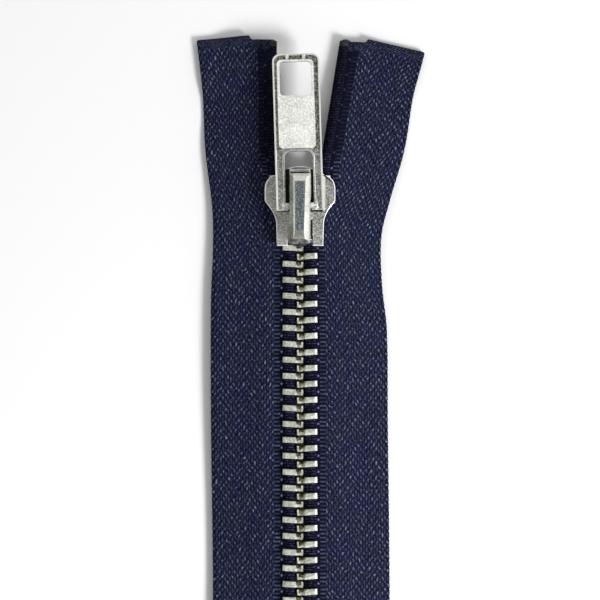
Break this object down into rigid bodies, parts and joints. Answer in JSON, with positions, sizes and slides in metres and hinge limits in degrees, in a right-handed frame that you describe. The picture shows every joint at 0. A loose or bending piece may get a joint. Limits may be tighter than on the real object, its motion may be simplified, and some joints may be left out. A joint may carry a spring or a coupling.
{
  "type": "zipper",
  "caption": "Closed-end metal zipper, closed and lying flat: two woven tapes, interlocking teeth, end stops and a locking slider with a swinging pull tab.",
  "frame": {"origin": "middle of the underside of the whole part's box, where it lies on a flat surface", "axes": "+Y along the chain towards the open tape ends above the slider, +X across the chain to the viewer's right when the slider is at the top, +Z out of the surface it lies on"},
  "size_m": [0.039, 0.1414, 0.0077],
  "materials": {
    "tape": "navy polyester herringbone tape, matt with pale flecks",
    "cord": "navy corded edge, matt",
    "teeth": "bright nickel plate on pressed teeth",
    "cast_body": "nickel plate over a fine cast grain",
    "cap": "bright polished nickel plate",
    "pull": "nickel plate, bright rims and a sandblasted panel",
    "spring": "plain spring strip"
  },
  "bodies": {
    "root": {"bottom_stop": "teeth", "left_lower_tape": "tape", "right_lower_tape": "tape", "left_lower_cord": "cord", "right_lower_cord": "cord"},
    "left_side": {"left_tape": "tape", "left_cord_end": "cord", "left_top_stop": "teeth", "left_teeth_01": "teeth", "left_teeth_02": "teeth", "left_teeth_03": "teeth", "left_teeth_04": "teeth", "left_teeth_05": "teeth", "left_teeth_06": "teeth", "left_teeth_07": "teeth", "left_teeth_08": "teeth", "left_teeth_09": "teeth", "left_teeth_10": "teeth", "left_teeth_11": "teeth", "left_teeth_12": "teeth"},
    "right_side": {"right_tape": "tape", "right_cord_end": "cord", "right_top_stop": "teeth", "right_teeth_01": "teeth", "right_teeth_02": "teeth", "right_teeth_03": "teeth", "right_teeth_04": "teeth", "right_teeth_05": "teeth", "right_teeth_06": "teeth", "right_teeth_07": "teeth", "right_teeth_08": "teeth", "right_teeth_09": "teeth", "right_teeth_10": "teeth", "right_teeth_11": "teeth", "right_teeth_12": "teeth"},
    "slider": {"slider_body": "cast_body", "slider_cap": "cap"},
    "pull": {"pull_tab": "pull"},
    "lock": {"lock_pawl": "spring"}
  },
  "joints": [
    {"name": "slider_travel", "type": "slide", "parent": "root", "child": "slider", "axis": [0, -1, 0], "range_m": [0, 0.086], "deforming": ["left_tape", "right_tape", "left_teeth_01", "left_teeth_02", "left_teeth_03", "left_teeth_04", "left_teeth_05", "left_teeth_06", "left_teeth_07", "left_teeth_08", "left_teeth_09", "left_teeth_10", "left_teeth_11", "left_teeth_12", "right_teeth_01", "right_teeth_02", "right_teeth_03", "right_teeth_04", "right_teeth_05", "right_teeth_06", "right_teeth_07", "right_teeth_08", "right_teeth_09", "right_teeth_10", "right_teeth_11", "right_teeth_12"]},
    {"name": "left_side_opening", "type": "hinge", "parent": "root", "child": "left_side", "pos_m": [-0.00378, -0.05075, 0.00235], "axis": [0, 0, 1], "range_deg": [0, 13]},
    {"name": "right_side_opening", "type": "hinge", "parent": "root", "child": "right_side", "pos_m": [0.00013, -0.05075, 0.00235], "axis": [0, 0, -1], "range_deg": [0, 13]},
    {"name": "pull_swing", "type": "hinge", "parent": "slider", "child": "pull", "pos_m": [-0.00183, 0.0424, 0.0057], "axis": [0.9996, 0.0297, 0], "range_deg": [0, 186]},
    {"name": "lock_lift", "type": "hinge", "parent": "slider", "child": "lock", "pos_m": [-0.00183, 0.04625, 0.00645], "axis": [-1, 0, 0], "range_deg": [0, 3.6], "stiffness_Nm_per_rad": 0.01}
  ],
  "couplings": [
    {"joint": "left_side_opening", "follows": "slider_travel", "rad_per_m": 2.6},
    {"joint": "right_side_opening", "follows": "slider_travel", "rad_per_m": 2.6}
  ]
}
